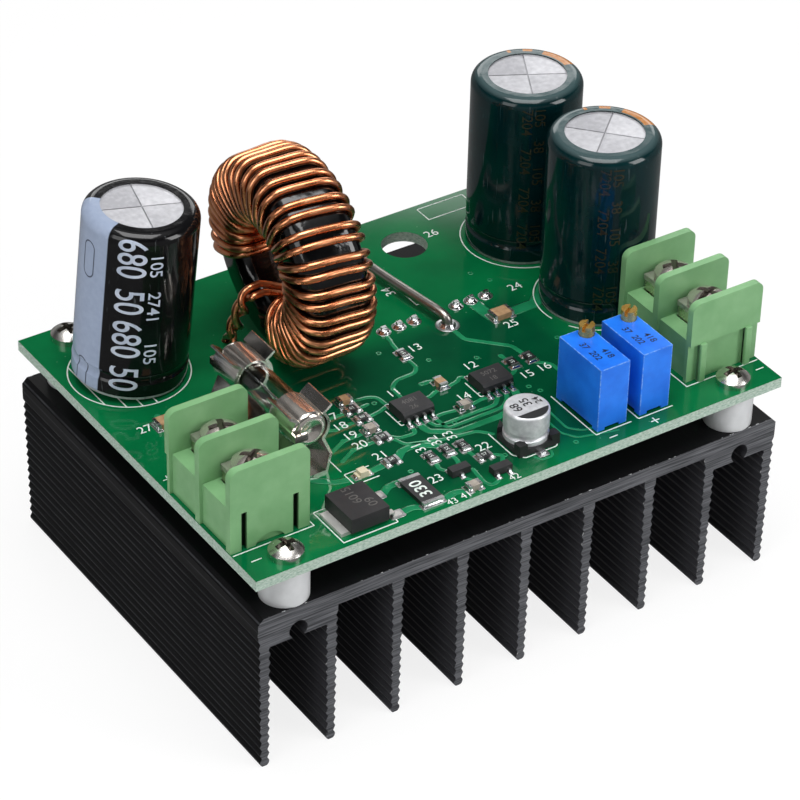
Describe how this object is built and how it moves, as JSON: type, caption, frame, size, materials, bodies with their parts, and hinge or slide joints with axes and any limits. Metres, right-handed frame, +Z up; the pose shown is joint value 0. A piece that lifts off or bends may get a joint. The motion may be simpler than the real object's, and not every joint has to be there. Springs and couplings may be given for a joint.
{
  "type": "boost converter module",
  "caption": "Step-up power converter board on standoffs over a finned heatsink, with ring inductor, capacitors, fuse, barrier terminals and trimmers.",
  "frame": {"origin": "under the middle of the fin tips, on the surface that the part stands on", "axes": "+X across the fins toward the output terminals, +Y along the fins toward the back, +Z up out of the board"},
  "size_m": [0.085, 0.063, 0.0631],
  "materials": {
    "anodised": "black anodised, sawn ends",
    "nylon": "translucent white",
    "plated_steel": "bright nickel plate",
    "clamp_steel": "zinc plate",
    "board": "glossy green lacquer",
    "can_aluminium": "brushed",
    "black_sleeve": "shrink sleeve, glossy",
    "green_sleeve": "shrink sleeve, glossy",
    "core_coating": "epoxy coat",
    "enamelled_copper": "clear enamel over copper",
    "fuse_glass": "clear",
    "nickel": "nickel plate",
    "terminal_green": "satin moulding",
    "tinned_brass": "tin plate",
    "trimmer_blue": "satin moulding",
    "brass": "turned",
    "tinned_leads": "tin plate",
    "black_base": "moulded",
    "moulding": "epoxy moulding",
    "chip_black": "glaze over ceramic",
    "chip_tan": "fired ceramic",
    "lamp": "clear lens over yellow",
    "pad_grey": "silicone sheet",
    "solder": "bright solder"
  },
  "bodies": {
    "module": {"heatsink": "anodised", "standoffs": "nylon", "board_screws": "plated_steel", "circuit_board": "board", "input_capacitor_can": "can_aluminium", "input_capacitor_sleeve": "black_sleeve", "output_capacitor_rear_can": "can_aluminium", "output_capacitor_rear_sleeve": "green_sleeve", "output_capacitor_front_can": "can_aluminium", "output_capacitor_front_sleeve": "green_sleeve", "inductor_core": "core_coating", "inductor_winding": "enamelled_copper", "fuse_glass": "fuse_glass", "fuse_caps": "nickel", "fuse_wire": "nickel", "fuse_clip_front": "nickel", "fuse_clip_rear": "nickel", "input_terminal_housing": "terminal_green", "input_terminal_contacts": "tinned_brass", "output_terminal_housing": "terminal_green", "output_terminal_contacts": "tinned_brass", "voltage_trimmer_housing": "trimmer_blue", "current_trimmer_housing": "trimmer_blue", "trimmer_pins": "tinned_leads", "smd_capacitor_can": "can_aluminium", "smd_capacitor_base": "black_base", "smd_capacitor_leads": "tinned_leads", "controller_body": "moulding", "controller_leads": "tinned_leads", "amplifier_body": "moulding", "amplifier_leads": "tinned_leads", "regulator_body": "moulding", "regulator_tab": "tinned_leads", "transistor_bodies": "moulding", "transistor_leads": "tinned_leads", "power_resistor_body": "chip_black", "power_resistor_terminals": "tinned_leads", "chip_resistor_bodies": "chip_black", "chip_resistor_terminals": "tinned_leads", "chip_capacitor_bodies": "chip_tan", "chip_capacitor_terminals": "tinned_leads", "indicator_led": "lamp", "shunt_wire": "tinned_leads", "mosfet_body": "moulding", "mosfet_tab": "tinned_leads", "diode_body": "moulding", "diode_tab": "tinned_leads", "insulating_pads": "pad_grey", "transistor_screws": "plated_steel", "solder_joints": "solder"},
    "input_clamp_front": {"input_clamp_plate_front": "clamp_steel"},
    "input_screw_front": {"input_clamp_screw_front": "plated_steel"},
    "input_clamp_rear": {"input_clamp_plate_rear": "clamp_steel"},
    "input_screw_rear": {"input_clamp_screw_rear": "plated_steel"},
    "output_clamp_front": {"output_clamp_plate_front": "clamp_steel"},
    "output_screw_front": {"output_clamp_screw_front": "plated_steel"},
    "output_clamp_rear": {"output_clamp_plate_rear": "clamp_steel"},
    "output_screw_rear": {"output_clamp_screw_rear": "plated_steel"},
    "current_adjuster": {"current_trimmer_screw": "brass"},
    "voltage_adjuster": {"voltage_trimmer_screw": "brass"}
  },
  "joints": [
    {"name": "input_front_lift", "type": "slide", "parent": "module", "child": "input_clamp_front", "axis": [0, 0, 1], "range_m": [0, 0.002]},
    {"name": "input_front_turn", "type": "hinge", "parent": "input_clamp_front", "child": "input_screw_front", "pos_m": [-0.0364, -0.02071, 0.0416], "axis": [0, 0, 1], "range_deg": [0, 1440]},
    {"name": "input_rear_lift", "type": "slide", "parent": "module", "child": "input_clamp_rear", "axis": [0, 0, 1], "range_m": [0, 0.002]},
    {"name": "input_rear_turn", "type": "hinge", "parent": "input_clamp_rear", "child": "input_screw_rear", "pos_m": [-0.0364, -0.01309, 0.0416], "axis": [0, 0, 1], "range_deg": [0, 1440]},
    {"name": "output_front_lift", "type": "slide", "parent": "module", "child": "output_clamp_front", "axis": [0, 0, 1], "range_m": [0, 0.002]},
    {"name": "output_front_turn", "type": "hinge", "parent": "output_clamp_front", "child": "output_screw_front", "pos_m": [0.0364, -0.02161, 0.0416], "axis": [0, 0, 1], "range_deg": [0, 1440]},
    {"name": "output_rear_lift", "type": "slide", "parent": "module", "child": "output_clamp_rear", "axis": [0, 0, 1], "range_m": [0, 0.002]},
    {"name": "output_rear_turn", "type": "hinge", "parent": "output_clamp_rear", "child": "output_screw_rear", "pos_m": [0.0364, -0.01399, 0.0416], "axis": [0, 0, 1], "range_deg": [0, 1440]},
    {"name": "current_adjust", "type": "hinge", "parent": "module", "child": "current_adjuster", "pos_m": [0.01684, -0.02011, 0.0416], "axis": [0, 0, 1], "continuous": true},
    {"name": "voltage_adjust", "type": "hinge", "parent": "module", "child": "voltage_adjuster", "pos_m": [0.02395, -0.02011, 0.0416], "axis": [0, 0, 1], "continuous": true}
  ],
  "couplings": [
    {"joint": "input_front_turn", "follows": "input_front_lift", "rad_per_m": 12566},
    {"joint": "input_rear_turn", "follows": "input_rear_lift", "rad_per_m": 12566},
    {"joint": "output_front_turn", "follows": "output_front_lift", "rad_per_m": 12566},
    {"joint": "output_rear_turn", "follows": "output_rear_lift", "rad_per_m": 12566}
  ]
}
